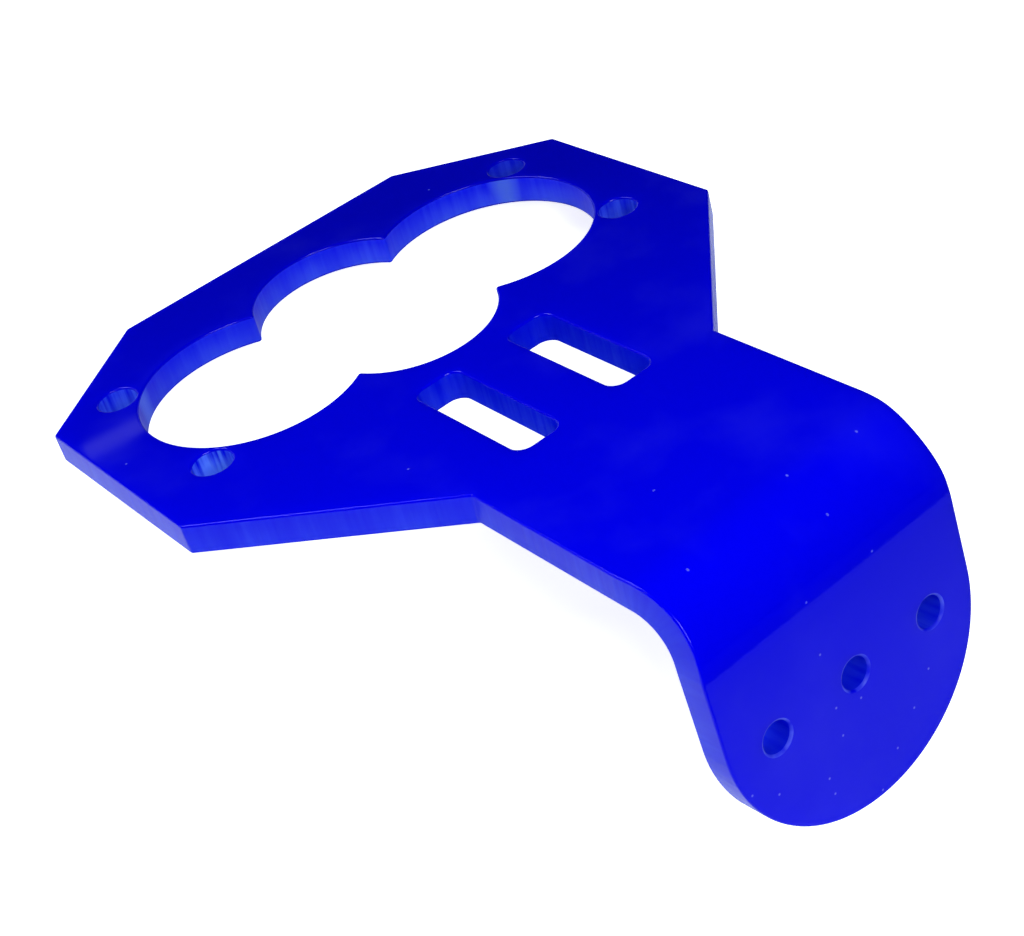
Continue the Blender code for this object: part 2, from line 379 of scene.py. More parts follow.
def window_outline(sizes):
    """The sensor opening: two eyes and a middle lobe, with the cusps between them rounded."""
    eye = Vector((sizes.eye_pitch / 2, 0.0))
    lobe = Vector((0.0, sizes.centre_reach - sizes.centre_radius))
    # A cusp's round end touches the eye and the lobe, so its centre is this far from theirs.
    from_eye = sizes.eye_radius + sizes.cusp_ease
    from_lobe = sizes.centre_radius + sizes.cusp_ease
    gap = (lobe - eye).length
    along = (gap ** 2 + from_eye ** 2 - from_lobe ** 2) / (2 * gap)
    off = math.sqrt(from_eye ** 2 - along ** 2)
    way = (lobe - eye) / gap
    cusp = eye + way * along + Vector((way.y, -way.x)) * off

    def heading(start, end):
        return math.atan2(end.y - start.y, end.x - start.x)

    eye_turn = heading(eye, cusp)
    lobe_turn = heading(lobe, cusp)
    to_eye = heading(cusp, eye)
    to_lobe = heading(cusp, lobe)
    quarter = arc(eye.x, eye.y, sizes.eye_radius, 0.0, eye_turn, EYE_STEPS)
    cusp_sweep = to_lobe - to_eye
    quarter += arc(cusp.x, cusp.y, sizes.cusp_ease, to_eye, cusp_sweep, CUSP_STEPS)[1:-1]
    lobe_sweep = math.pi / 2 - lobe_turn
    quarter += arc(lobe.x, lobe.y, sizes.centre_radius, lobe_turn, lobe_sweep, LOBE_STEPS)
    half = quarter + [(-x, y) for x, y in reversed(quarter[:-1])]
    return half + [(x, -y) for x, y in reversed(half[1:-1])]


def outline_object(name, outlines):
    """A curve object with one closed spline for each outline."""
    curve = bpy.data.curves.new(name, "CURVE")
    curve.dimensions = "3D"
    for outline in outlines:
        spline = curve.splines.new("POLY")
        spline.points.add(len(outline) - 1)
        for target, (x, y) in zip(spline.points, outline):
            target.co = (x, y, 0.0, 1.0)
        spline.use_cyclic_u = True
    drawing = bpy.data.objects.new(name, curve)
    bpy.context.scene.collection.objects.link(drawing)
    return drawing


def add_slab(tree, outlines, bottom, height):
    """Nodes that turn closed flat outlines into one closed slab of this height."""
    index = add_node(tree, "GeometryNodeInputIndex")[0]
    flat = add_node(
        tree, "GeometryNodeFillCurve", {"mode": "NGONS"}, {"Curve": outlines, "Group ID": index}
    )[0]
    sunk = add_node(tree, "ShaderNodeCombineXYZ", inputs={2: bottom})[0]
    flat = add_node(tree, "GeometryNodeTransform", inputs={"Geometry": flat, "Translation": sunk})[0]
    floor = add_node(
        tree, "GeometryNodeMergeByDistance", inputs={"Geometry": flat, "Distance": WELD_DISTANCE}
    )[0]
    raised = add_node(
        tree, "GeometryNodeExtrudeMesh",
        inputs={"Mesh": floor, "Offset Scale": height, "Individual": False},
    )["Mesh"]
    base = add_node(tree, "GeometryNodeFlipFaces", inputs={"Mesh": floor})[0]
    both = add_node(tree, "GeometryNodeJoinGeometry", inputs={"Geometry": [raised, base]})[0]
    return add_node(
        tree, "GeometryNodeMergeByDistance", inputs={"Geometry": both, "Distance": WELD_DISTANCE}
    )[0]


def cut_sheet_tree():
    """Nodes that give the blank its thickness and cut every opening through it."""
    tree, given = new_tree("Cut Sheet", {
        "NodeSocketFloat": (
            "Sheet Thickness", "Screw Radius", "Slot Pitch", "Slot Width", "Slot Length",
            "Slot Corner Radius", "Slot Centre Y", "Tab Hole Pitch", "Tab Hole Radius",
            "Tab Hole Y", "Rim Share",
        ),
        "NodeSocketVector": ("Screw Place",),
        "NodeSocketObject": ("Sensor Window",),
        "NodeSocketMaterial": ("Face",),
    })
    bottom = add_node(tree, "ShaderNodeMath", MULTIPLY, {0: given["Sheet Thickness"], 1: -1.0})[0]
    sheet = add_slab(tree, given["Geometry"], bottom, given["Sheet Thickness"])
    depth = add_node(
        tree, "ShaderNodeMath", {"operation": "ADD"},
        {0: given["Sheet Thickness"], 1: 2 * CUTTER_OVERSHOOT},
    )[0]
    middle = add_node(tree, "ShaderNodeMath", MULTIPLY, {0: given["Sheet Thickness"], 1: -0.5})[0]

    def row_of(pitch, y, z, count, instance):
        """Copies of a shape in a row across the sheet, centred on its middle line."""
        reach = (count - 1) / 2
        first = add_node(tree, "ShaderNodeMath", MULTIPLY, {0: pitch, 1: -reach})
        start = add_node(tree, "ShaderNodeCombineXYZ", inputs={0: first[0], 1: y, 2: z})
        step = add_node(tree, "ShaderNodeCombineXYZ", inputs={0: pitch})
        points = add_node(
            tree, "GeometryNodeMeshLine",
            inputs={"Count": count, "Start Location": start[0], "Offset": step[0]},
        )
        return add_node(
            tree, "GeometryNodeInstanceOnPoints", inputs={"Points": points[0], "Instance": instance}
        )[0]

    tab_drill = add_node(
        tree, "GeometryNodeMeshCylinder",
        inputs={"Vertices": TAB_HOLE_SIDES, "Radius": given["Tab Hole Radius"], "Depth": depth},
    )["Mesh"]
    tab_holes = row_of(given["Tab Hole Pitch"], given["Tab Hole Y"], middle, 3, tab_drill)

    screw_span = add_node(
        tree, "ShaderNodeVectorMath", {"operation": "SCALE"}, {0: given["Screw Place"], "Scale": 2.0}
    )[0]
    span = add_node(tree, "ShaderNodeSeparateXYZ", inputs={0: screw_span})
    corners = add_node(
        tree, "GeometryNodeMeshGrid",
        inputs={"Size X": span["X"], "Size Y": span["Y"], "Vertices X": 2, "Vertices Y": 2},
    )["Mesh"]
    down = add_node(tree, "ShaderNodeCombineXYZ", inputs={2: middle})[0]
    corners = add_node(tree, "GeometryNodeTransform", inputs={"Geometry": corners, "Translation": down})[0]
    screw_drill = add_node(
        tree, "GeometryNodeMeshCylinder",
        inputs={"Vertices": SCREW_HOLE_SIDES, "Radius": given["Screw Radius"], "Depth": depth},
    )["Mesh"]
    screw_holes = add_node(
        tree, "GeometryNodeInstanceOnPoints", inputs={"Points": corners, "Instance": screw_drill}
    )[0]

    below = add_node(
        tree, "ShaderNodeMath", {"operation": "SUBTRACT"}, {0: bottom, 1: CUTTER_OVERSHOOT}
    )[0]
    plain = add_node(
        tree, "GeometryNodeCurvePrimitiveQuadrilateral",
        inputs={"Width": given["Slot Width"], "Height": given["Slot Length"]},
    )[0]
    slot = add_node(
        tree, "GeometryNodeFilletCurve", {"mode": "POLY"},
        {
            "Curve": plain, "Count": SLOT_CORNER_STEPS,
            "Radius": given["Slot Corner Radius"], "Limit Radius": True,
        },
    )[0]
    slots = row_of(given["Slot Pitch"], given["Slot Centre Y"], 0.0, 2, slot)
    slots = add_node(tree, "GeometryNodeRealizeInstances", inputs={"Geometry": slots})[0]
    slots = add_slab(tree, slots, below, depth)
    window = add_node(
        tree, "GeometryNodeObjectInfo", inputs={"Object": given["Sensor Window"]}
    )["Geometry"]
    window = add_slab(tree, window, below, depth)

    # Each cutter carries its kind, which the cut passes on to the walls that it leaves.
    cutters = []
    for shape, kind in (
        (tab_holes, TAB_HOLE), (screw_holes, SCREW_HOLE), (slots, SLOT), (window, WINDOW),
    ):
        shape = add_node(tree, "GeometryNodeRealizeInstances", inputs={"Geometry": shape})[0]
        marked = add_node(
            tree, "GeometryNodeStoreNamedAttribute", {"domain": "FACE"},
            {"Geometry": shape, "Name": OPENING, "Value": kind},
        )
        cutters.append(marked[0])
    cutters = add_node(tree, "GeometryNodeJoinGeometry", inputs={"Geometry": cutters})[0]
    cut = add_node(
        tree, "GeometryNodeMeshBoolean", {"operation": "DIFFERENCE", "solver": "EXACT"},
        {"Mesh 1": sheet, "Mesh 2": cutters, "Self Intersection": True},
    )["Mesh"]

    # Rims turn from face to wall. Upright edges are the outline's own corners.
    ends = add_node(tree, "GeometryNodeInputMeshEdgeVertices")
    along = add_node(
        tree, "ShaderNodeVectorMath", {"operation": "SUBTRACT"},
        {0: ends["Position 1"], 1: ends["Position 2"]},
    )[0]
    rise = add_node(tree, "ShaderNodeSeparateXYZ", inputs={0: along})["Z"]
    rise = add_node(tree, "ShaderNodeMath", {"operation": "ABSOLUTE"}, {0: rise})[0]
    half_sheet = add_node(tree, "ShaderNodeMath", MULTIPLY, {0: given["Sheet Thickness"], 1: 0.5})[0]
    upright = add_node(
        tree, "FunctionNodeCompare", {"operation": "GREATER_THAN"}, {0: rise, 1: half_sheet}
    )[0]
    angle = add_node(tree, "GeometryNodeInputMeshEdgeAngle")["Unsigned Angle"]
    is_corner = add_node(
        tree, "FunctionNodeCompare", {"operation": "GREATER_THAN"}, {0: angle, 1: LEAST_CORNER}
    )[0]
    weight = add_node(
        tree, "GeometryNodeSwitch", {"input_type": "FLOAT"},
        {"Switch": upright, "False": given["Rim Share"], "True": 1.0},
    )[0]
    weight = add_node(
        tree, "GeometryNodeSwitch", {"input_type": "FLOAT"},
        {"Switch": is_corner, "False": 0.0, "True": weight},
    )[0]
    cut = add_node(
        tree, "GeometryNodeStoreNamedAttribute", {"domain": "EDGE"},
        {"Geometry": cut, "Name": EDGE_WEIGHT, "Value": weight},
    )[0]
    real = add_node(tree, "GeometryNodeRealizeInstances", inputs={"Geometry": cut})[0]
    faced = add_node(
        tree, "GeometryNodeSetMaterial", inputs={"Geometry": real, "Material": given["Face"]}
    )[0]
    add_node(tree, "NodeGroupOutput", inputs={0: faced})
    return tree


def bend_sheet_tree():
    """Nodes that bend the tab down, lay the bracket down and finish its rims and walls."""
    tree, given = new_tree("Bend Sheet", {
        "NodeSocketFloat": (
            "Sheet Thickness", "Half Width", "Bend Start Y", "Bend Inner Radius", "Bend Angle",
            "Outer Edge Draw", "Inner Edge Draw", "Edge Run Out", "Rest Tilt",
        ),
        "NodeSocketVector": ("Resting Place",),
        "NodeSocketMaterial": ("Rim", "Outline Wall", "Window Wall", "Hole Wall"),
    })
    place = add_node(tree, "GeometryNodeInputPosition")[0]
    noted = add_node(
        tree, "GeometryNodeStoreNamedAttribute", {"data_type": "FLOAT_VECTOR"},
        {"Geometry": given["Geometry"], "Name": FLAT_PLACE, "Value": place},
    )[0]
    normal = add_node(tree, "GeometryNodeInputNormal")["Normal"]
    lean = add_node(tree, "ShaderNodeSeparateXYZ", inputs={0: normal})["Z"]
    lean = add_node(tree, "ShaderNodeMath", {"operation": "ABSOLUTE"}, {0: lean})[0]
    noted = add_node(
        tree, "GeometryNodeStoreNamedAttribute", {"domain": "FACE"},
        {"Geometry": noted, "Name": FLAT_LEAN, "Value": lean},
    )[0]
    lean = add_node(tree, "GeometryNodeInputNamedAttribute", inputs={"Name": FLAT_LEAN})[0]
    is_wall = add_node(
        tree, "FunctionNodeCompare", {"operation": "LESS_THAN"}, {0: lean, 1: RIM_STARTS}
    )[0]
    is_rim = add_node(tree, "FunctionNodeCompare", {"operation": "LESS_THAN"}, {0: lean, 1: RIM_ENDS})[0]

    # A rim belongs to the wall that it lies beside.
    walls = add_node(
        tree, "GeometryNodeSeparateGeometry", {"domain": "FACE"}, {"Geometry": noted, "Selection": is_wall}
    )[0]
    beside = add_node(tree, "GeometryNodeSampleNearest", {"domain": "FACE"}, {"Geometry": walls})[0]
    kind = add_node(tree, "GeometryNodeInputNamedAttribute", inputs={"Name": OPENING})[0]
    beside_kind = add_node(
        tree, "GeometryNodeSampleIndex", {"domain": "FACE"},
        {"Geometry": walls, "Value": kind, "Index": beside},
    )[0]
    noted = add_node(
        tree, "GeometryNodeStoreNamedAttribute", {"domain": "FACE"},
        {"Geometry": noted, "Name": OPENING, "Value": beside_kind},
    )[0]

    # A point's way through the bend. Each row names its result, and gives how to work it out.
    flat = add_node(tree, "ShaderNodeSeparateXYZ", inputs={0: place})
    known = {"x": flat["X"], "y": flat["Y"], "z": flat["Z"]}
    for result, operation, *values in (
        # How far the point lies past the start of the bend, and how far it has turned.
        ("distance", "SUBTRACT", "Bend Start Y", "y"),
        ("half sheet", "MULTIPLY", "Sheet Thickness", 0.5),
        ("middle radius", "ADD", "Bend Inner Radius", "half sheet"),
        ("turned", "DIVIDE", "distance", "middle radius"),
        ("turned", "MAXIMUM", "turned", 0.0),
        ("turned", "MINIMUM", "turned", "Bend Angle"),
        # The hot strip stretches, so its side edges draw in, most of all at the outer face.
        ("bend length", "MULTIPLY", "middle radius", "Bend Angle"),
        ("run", "MULTIPLY_ADD", "Edge Run Out", 2.0, "bend length"),
        ("share", "ADD", "distance", "Edge Run Out"),
        ("share", "DIVIDE", "share", "run"),
        ("share", "MAXIMUM", "share", 0.0),
        ("share", "MINIMUM", "share", 1.0),
        ("swell", "MULTIPLY", "share", math.pi),
        ("swell", "SINE", "swell"),
        ("swell", "MULTIPLY", "swell", "swell"),
        ("depth", "DIVIDE", "z", "Sheet Thickness"),
        ("depth", "MULTIPLY", "depth", -1.0),
        ("draw change", "SUBTRACT", "Inner Edge Draw", "Outer Edge Draw"),
        ("draw", "MULTIPLY_ADD", "draw change", "depth", "Outer Edge Draw"),
        ("outward", "DIVIDE", "x", "Half Width"),
        ("outward squared", "MULTIPLY", "outward", "outward"),
        ("outward cubed", "MULTIPLY", "outward", "outward squared"),
        ("inset", "MULTIPLY", "swell", "draw"),
        ("inset", "MULTIPLY", "inset", "outward cubed"),
        ("x", "SUBTRACT", "x", "inset"),
        # A turned point slides back to the start of the bend, then swings about its axis.
        ("slid", "MULTIPLY_ADD", "turned", "middle radius", "y"),
        ("outer radius", "ADD", "Bend Inner Radius", "Sheet Thickness"),
        ("axis z", "MULTIPLY", "outer radius", -1.0),
        ("tilt", "MULTIPLY", "Rest Tilt", -1.0),
    ):
        sources = {}
        for slot, value in enumerate(values):
            if isinstance(value, str):
                value = known[value] if value in known else given[value]
            sources[slot] = value
        step = add_node(tree, "ShaderNodeMath", {"operation": operation}, sources)
        known[result] = step[0]

    ready = add_node(
        tree, "ShaderNodeCombineXYZ", inputs={0: known["x"], 1: known["slid"], 2: known["z"]}
    )[0]
    axis = add_node(tree, "ShaderNodeCombineXYZ", inputs={1: given["Bend Start Y"], 2: known["axis z"]})[0]
    bent = add_node(
        tree, "ShaderNodeVectorRotate", {"rotation_type": "X_AXIS"},
        {"Vector": ready, "Center": axis, "Angle": known["turned"]},
    )[0]
    shaped = add_node(tree, "GeometryNodeSetPosition", inputs={"Geometry": noted, "Position": bent})[0]

    turn = add_node(tree, "ShaderNodeCombineXYZ", inputs={0: known["tilt"]})[0]
    laid = add_node(
        tree, "GeometryNodeTransform",
        inputs={"Geometry": shaped, "Translation": given["Resting Place"], "Rotation": turn},
    )[0]
    smooth = add_node(tree, "GeometryNodeSetShadeSmooth", inputs={"Geometry": laid})[0]
    done = add_node(tree, "GeometryNodeRealizeInstances", inputs={"Geometry": smooth})[0]

    # Rims first, then walls, then those of the walls that belong to openings.
    done = add_node(
        tree, "GeometryNodeSetMaterial",
        inputs={"Geometry": done, "Selection": is_rim, "Material": given["Rim"]},
    )[0]
    for least, finish in ((0.0, "Outline Wall"), (WINDOW, "Window Wall"), (SLOT, "Hole Wall")):
        opened = add_node(
            tree, "FunctionNodeCompare", {"operation": "GREATER_THAN"}, {0: kind, 1: least - HALF_KIND}
        )[0]
        chosen = add_node(
            tree, "FunctionNodeBooleanMath", {"operation": "AND"}, {0: is_wall, 1: opened}
        )[0]
        done = add_node(
            tree, "GeometryNodeSetMaterial",
            inputs={"Geometry": done, "Selection": chosen, "Material": given[finish]},
        )[0]
    add_node(tree, "NodeGroupOutput", inputs={0: done})
    return tree


# ---------------------------------------------------------------- materials
def new_material(name):
    """A material with a Principled shader, and its tree and shader."""
    material = bpy.data.materials.new(name)
    material.use_nodes = True
    return material, material.node_tree, material.node_tree.nodes["Principled BSDF"]


def finish_acrylic(shader, roughness, specular):
    """What every surface of the dyed sheet shares: its index, and blue light passing through it."""
    shader.inputs["IOR"].default_value = 1.49
    shader.inputs["Roughness"].default_value = roughness
    shader.inputs["Specular IOR Level"].default_value = specular
    shader.inputs["Subsurface Weight"].default_value = 0.7
    shader.inputs["Subsurface Radius"].default_value = (0.1, 0.15, 1.0)
    shader.inputs["Subsurface Scale"].default_value = 3.0 * MM


def painted_sheet_light(tree, flat):
    """How much light is painted into the dyed sheet's colour at a place, from 0 to 1."""
    across_share = 0.75
    cloud_strength = 0.12
    # Painted light: the raised left side is painted as if filled with light, and the far front corner is
    # painted darker.
    axes = add_node(tree, "ShaderNodeSeparateXYZ", inputs={0: flat})
    away = add_node(tree, "ShaderNodeMath", MULTIPLY_ADD, {0: axes["X"], 1: across_share, 2: axes["Y"]})[0]
    fill = add_node(
        tree, "ShaderNodeMapRange",
        inputs={"Value": away, "From Min": 22 * MM, "From Max": -60 * MM, "To Min": -0.06},
    )["Result"]
    # Painted shade: the tab hangs down, away from that light, so it is painted darker.
    hang = add_node(
        tree, "ShaderNodeMapRange", {"interpolation_type": "SMOOTHSTEP"},
        {"Value": axes["Y"], "From Min": -52 * MM, "From Max": -57 * MM, "To Max": -0.3},
    )["Result"]
    # Clouds of dye about 25 mm across.
    cloud = add_node(
        tree, "ShaderNodeTexNoise", inputs={"Vector": flat, "Scale": 40.0, "Detail": 2.0}
    )["Fac"]
    hang = add_node(tree, "ShaderNodeMath", MULTIPLY_ADD, {0: cloud, 1: cloud_strength, 2: hang})[0]
    return add_node(tree, "ShaderNodeMath", {"operation": "ADD", "use_clamp": True}, {0: fill, 1: hang})[0]


def dye_with_painted_light(tree, look, flat):
    """The dye's colour with painted light at a place: the more light is painted into the sheet, the
    brighter.
    """
    light = painted_sheet_light(tree, flat)
    deep, bright = linear_colour(look.face_painted_shade), linear_colour(look.face_painted_light)
    return add_node(tree, "ShaderNodeMix", COLOURS, {"Factor": light, "A": deep, "B": bright})["Result"]


def cast_acrylic_face(look):
    """Polished cast acrylic, dyed blue through and through: deep, glassy and very clean, with light and
    shade painted into its blue.
    """
    smudge_strength = 0.02
    speck_strength = 0.35
    material, tree, shader = new_material("cast_acrylic_face")
    flat = add_node(tree, "ShaderNodeAttribute", {"attribute_name": FLAT_PLACE})["Vector"]
    axes = add_node(tree, "ShaderNodeSeparateXYZ", inputs={0: flat})
    # The blue carries painted light and painted shade from across the sheet.
    dye_and_painted_light = dye_with_painted_light(tree, look, flat)

    # Wiped fingerprints leave faint pale patches, 8 to 15 mm across.
    smudge = add_node(
        tree, "ShaderNodeTexNoise", inputs={"Vector": flat, "Scale": 90.0, "Detail": 4.0}
    )["Fac"]
    smudge = add_node(
        tree, "ShaderNodeMapRange", inputs={"Value": smudge, "From Min": 0.5, "From Max": 0.8}
    )["Result"]
    haze = add_node(tree, "ShaderNodeMath", MULTIPLY, {0: smudge, 1: smudge_strength})[0]

    # Dust and pinholes: one speck of about 0.2 mm in a few of the cells, 2.2 mm across.
    cells = add_node(
        tree, "ShaderNodeTexVoronoi", {"voronoi_dimensions": "2D"}, {"Vector": flat, "Scale": 450.0}
    )
    near = add_node(
        tree, "ShaderNodeMapRange",
        inputs={
            "Value": cells["Distance"], "From Min": 0.055, "From Max": 0.025,
            "To Max": speck_strength,
        },
    )["Result"]
    chance = add_node(tree, "ShaderNodeSeparateColor", inputs={0: cells["Color"]})["Red"]
    # More of it has settled on the tab.
    least = add_node(
        tree, "ShaderNodeMapRange",
        inputs={
            "Value": axes["Y"], "From Min": -40 * MM, "From Max": -56 * MM,
            "To Min": 0.985, "To Max": 0.82,
        },
    )["Result"]
    chosen = add_node(tree, "ShaderNodeMath", {"operation": "GREATER_THAN"}, {0: chance, 1: least})[0]
    speck = add_node(tree, "ShaderNodeMath", MULTIPLY, {0: near, 1: chosen})[0]
    for amount in (haze, speck):
        dye_and_painted_light = add_node(
            tree, "ShaderNodeMix", COLOURS, {"Factor": amount, "A": dye_and_painted_light, "B": linear_colour(look.dust)}
        )["Result"]
    tree.links.new(dye_and_painted_light, shader.inputs["Base Color"])

    gloss = add_node(
        tree, "ShaderNodeMapRange", inputs={"Value": smudge, "To Min": 0.03, "To Max": 0.06}
    )["Result"]
    finish_acrylic(shader, roughness=0.04, specular=0.15)
    tree.links.new(gloss, shader.inputs["Roughness"])
    return material


def laser_cut_wall(sizes, look, name, roughness, specular, relief, body, frost):
    """Laser-cut acrylic edge: semi-gloss, with upright ridges that the beam leaves, and painted light and
    shade in its blue.
    """
    swell_strength, swell_least = 2.0, -0.3
    # Shares of frost: what every hole has, and what the window and the screw holes have more.
    hole_share, window_extra, screw_extra = 0.2, 0.8, 1.4
    # How strongly the light painted into the sheet shows on a wall, and the least of it in a screw hole.
    light_strength, screw_light = 1.6, 0.25
    glow_reach = 0.7 * MM
    material, tree, shader = new_material(name)
    flat = add_node(tree, "ShaderNodeAttribute", {"attribute_name": FLAT_PLACE})["Vector"]
    # Ridges 0.6 mm apart stand right across the sheet, so they hardly change with depth.
    upright = add_node(tree, "ShaderNodeMapping", inputs={"Vector": flat, "Scale": (1.0, 1.0, 0.06)})[0]
    ridges = add_node(
        tree, "ShaderNodeTexNoise", inputs={"Vector": upright, "Scale": 1700.0, "Detail": 3.0}
    )["Fac"]
    ridges = add_node(
        tree, "ShaderNodeMapRange", inputs={"Value": ridges, "From Min": 0.35, "From Max": 0.68}
    )["Result"]
    # Longer swells along the wall, where the beam dwelt.
    swell = add_node(
        tree, "ShaderNodeTexNoise", inputs={"Vector": upright, "Scale": 220.0, "Detail": 1.0}
    )["Fac"]
    # The wall gets paler towards the sheet's underside.
    depth = add_node(tree, "ShaderNodeSeparateXYZ", inputs={0: flat})["Z"]
    amount = add_node(
        tree, "ShaderNodeMapRange",
        inputs={"Value": depth, "From Min": -0.6 * MM, "From Max": -2.6 * MM, "To Max": 0.5},
    )["Result"]
    amount = add_node(tree, "ShaderNodeMath", MULTIPLY_ADD, {0: ridges, 1: relief, 2: amount})[0]
    swell = add_node(
        tree, "ShaderNodeMath", MULTIPLY_ADD, {0: swell, 1: swell_strength, 2: swell_least}
    )[0]
    amount = add_node(
        tree, "ShaderNodeMath", {"operation": "MULTIPLY", "use_clamp": True}, {0: amount, 1: swell}
    )[0]
    # Slots show the least frost, as painted shade, and screw holes the most, as painted light. Where less
    # light is painted into the sheet, less frost shows.
    kind = add_node(tree, "ShaderNodeAttribute", {"attribute_name": OPENING})["Fac"]
    screw = add_node(
        tree, "ShaderNodeMath", {"operation": "COMPARE"}, {0: kind, 1: SCREW_HOLE, 2: HALF_KIND}
    )[0]
    window = add_node(
        tree, "ShaderNodeMath", {"operation": "LESS_THAN"}, {0: kind, 1: SLOT - HALF_KIND}
    )[0]
    share = add_node(tree, "ShaderNodeMath", MULTIPLY_ADD, {0: window, 1: window_extra, 2: hole_share})[0]
    share = add_node(tree, "ShaderNodeMath", MULTIPLY_ADD, {0: screw, 1: screw_extra, 2: share})[0]
    amount = add_node(tree, "ShaderNodeMath", MULTIPLY, {0: amount, 1: share})[0]
    # Painted glow: the window's wall is painted paler next to a screw hole, as if light crossed the thin
    # web there.
    corner = add_node(tree, "ShaderNodeVectorMath", {"operation": "ABSOLUTE"}, {0: flat})[0]
    corner = add_node(tree, "ShaderNodeVectorMath", MULTIPLY, {0: corner, 1: (1.0, 1.0, 0.0)})[0]
    reach = add_node(
        tree, "ShaderNodeVectorMath", {"operation": "DISTANCE"}, {0: corner, 1: sizes.screw_place()}
    )["Value"]
    web_edge = sizes.screw_diameter / 2 + sizes.screw_web
    glow = add_node(
        tree, "ShaderNodeMapRange",
        inputs={"Value": reach, "From Min": web_edge + glow_reach, "From Max": web_edge},
    )["Result"]
    glow = add_node(tree, "ShaderNodeMath", MULTIPLY, {0: glow, 1: window})[0]
    amount = add_node(tree, "ShaderNodeMath", {"operation": "MAXIMUM"}, {0: amount, 1: glow})[0]
    # Painted light: the wall's blue runs from the face's painted shade colour to its body colour as the
    # painted light grows, and a screw hole's wall always has some.
    painted_lit = add_node(tree, "ShaderNodeMath", MULTIPLY_ADD, {0: screw, 1: screw_light, 2: window})[0]
    fill = add_node(
        tree, "ShaderNodeMath", {"operation": "MULTIPLY_ADD", "use_clamp": True},
        {0: painted_sheet_light(tree, flat), 1: light_strength, 2: painted_lit},
    )[0]
    body = add_node(
        tree, "ShaderNodeMix", COLOURS,
        {"Factor": fill, "A": linear_colour(look.face_painted_shade), "B": linear_colour(body)},
    )["Result"]
    amount = add_node(tree, "ShaderNodeMath", MULTIPLY, {0: amount, 1: fill})[0]
    dye_and_painted_light = add_node(
        tree, "ShaderNodeMix", COLOURS, {"Factor": amount, "A": body, "B": linear_colour(frost)}
    )["Result"]
    bump = add_node(
        tree, "ShaderNodeBump", inputs={"Strength": relief, "Distance": 0.05 * MM, "Height": ridges}
    )
    tree.links.new(dye_and_painted_light, shader.inputs["Base Color"])
    tree.links.new(bump["Normal"], shader.inputs["Normal"])
    finish_acrylic(shader, roughness, specular)
    return material


def melted_rim_with_painted_highlight(look):
    """Rim that the beam melted smooth: glassy like the face, with a painted highlight round the tab's
    holes.
    """
    material, tree, shader = new_material("melted_rim_with_painted_highlight")
    # Painted highlight: the rims round the tab's holes are painted pale.
    kind = add_node(tree, "ShaderNodeAttribute", {"attribute_name": OPENING})["Fac"]
    pale = add_node(
        tree, "ShaderNodeMapRange",
        inputs={"Value": kind, "From Min": SCREW_HOLE, "From Max": TAB_HOLE, "To Max": 0.9},
    )["Result"]
    # The painted highlight is uneven, in patches of a millimetre or two.
    flat = add_node(tree, "ShaderNodeAttribute", {"attribute_name": FLAT_PLACE})["Vector"]
    highlight_patches = add_node(tree, "ShaderNodeTexNoise", inputs={"Vector": flat, "Scale": 600.0})["Fac"]
    highlight_patches = add_node(
        tree, "ShaderNodeMapRange", inputs={"Value": highlight_patches, "From Min": 0.35, "From Max": 0.65}
    )["Result"]
    pale = add_node(tree, "ShaderNodeMath", MULTIPLY, {0: pale, 1: highlight_patches})[0]
    dye_and_painted_light = dye_with_painted_light(tree, look, flat)
    dye_and_painted_light = add_node(
        tree, "ShaderNodeMix", COLOURS, {"Factor": pale, "A": dye_and_painted_light, "B": linear_colour(look.rim_painted_highlight)}
    )["Result"]
    tree.links.new(dye_and_painted_light, shader.inputs["Base Color"])
    finish_acrylic(shader, roughness=0.15, specular=0.15)
    return material


def studio_floor_paper(studio):
    """Matt white paper sweep: even and bright to the camera and almost without shadow, with painted shade
    in front of the tab.
    """
    fibre_shade = 0.985
    dimming_run = 50 * MM
    material, tree, shader = new_material("studio_paper")
    place = add_node(tree, "ShaderNodeTexCoord")["Object"]
    fibre = add_node(
        tree, "ShaderNodeTexNoise", inputs={"Vector": place, "Scale": 400.0, "Detail": 3.0}
    )["Fac"]
    light = linear_colour(studio.floor_colour)
    shade = (*(channel * fibre_shade for channel in light[:3]), 1.0)
    paper = add_node(tree, "ShaderNodeMix", COLOURS, {"Factor": fibre, "A": shade, "B": light})["Result"]
    # Painted shade: the paper is painted darker in front of the tab and ends there. Beyond it the floor is
    # dark, so the acrylic mirrors dark.
    ahead = add_node(tree, "ShaderNodeSeparateXYZ", inputs={0: place})["Y"]
    edge = add_node(
        tree, "ShaderNodeMath", {"operation": "GREATER_THAN"}, {0: ahead, 1: studio.paper_end}
    )[0]
    dimming = add_node(
        tree, "ShaderNodeMapRange",
        inputs={
            "Value": ahead, "From Min": studio.paper_end, "From Max": studio.paper_end + dimming_run,
            "To Min": 0.45,
        },
    )["Result"]
    painted_lit = add_node(tree, "ShaderNodeMath", MULTIPLY, {0: edge, 1: dimming})[0]
    dark = linear_colour(studio.beyond_colour)
    paper = add_node(tree, "ShaderNodeMix", COLOURS, {"Factor": painted_lit, "A": dark, "B": paper})["Result"]
    tree.links.new(paper, shader.inputs["Base Color"])
    shader.inputs["Roughness"].default_value = 0.9
    # The paper glows for camera rays only, so it looks evenly white and hardly any shadow shows on it.
    shader.inputs["Emission Color"].default_value = linear_colour(WHITE)
    seen = add_node(tree, "ShaderNodeLightPath")["Is Camera Ray"]
    glow = add_node(
        tree, "ShaderNodeMapRange", inputs={"Value": painted_lit, "To Min": 1.0, "To Max": 0.85}
    )["Result"]
    glow = add_node(tree, "ShaderNodeMath", MULTIPLY, {0: seen, 1: glow})
    tree.links.new(glow[0], shader.inputs["Emission Strength"])
    return material


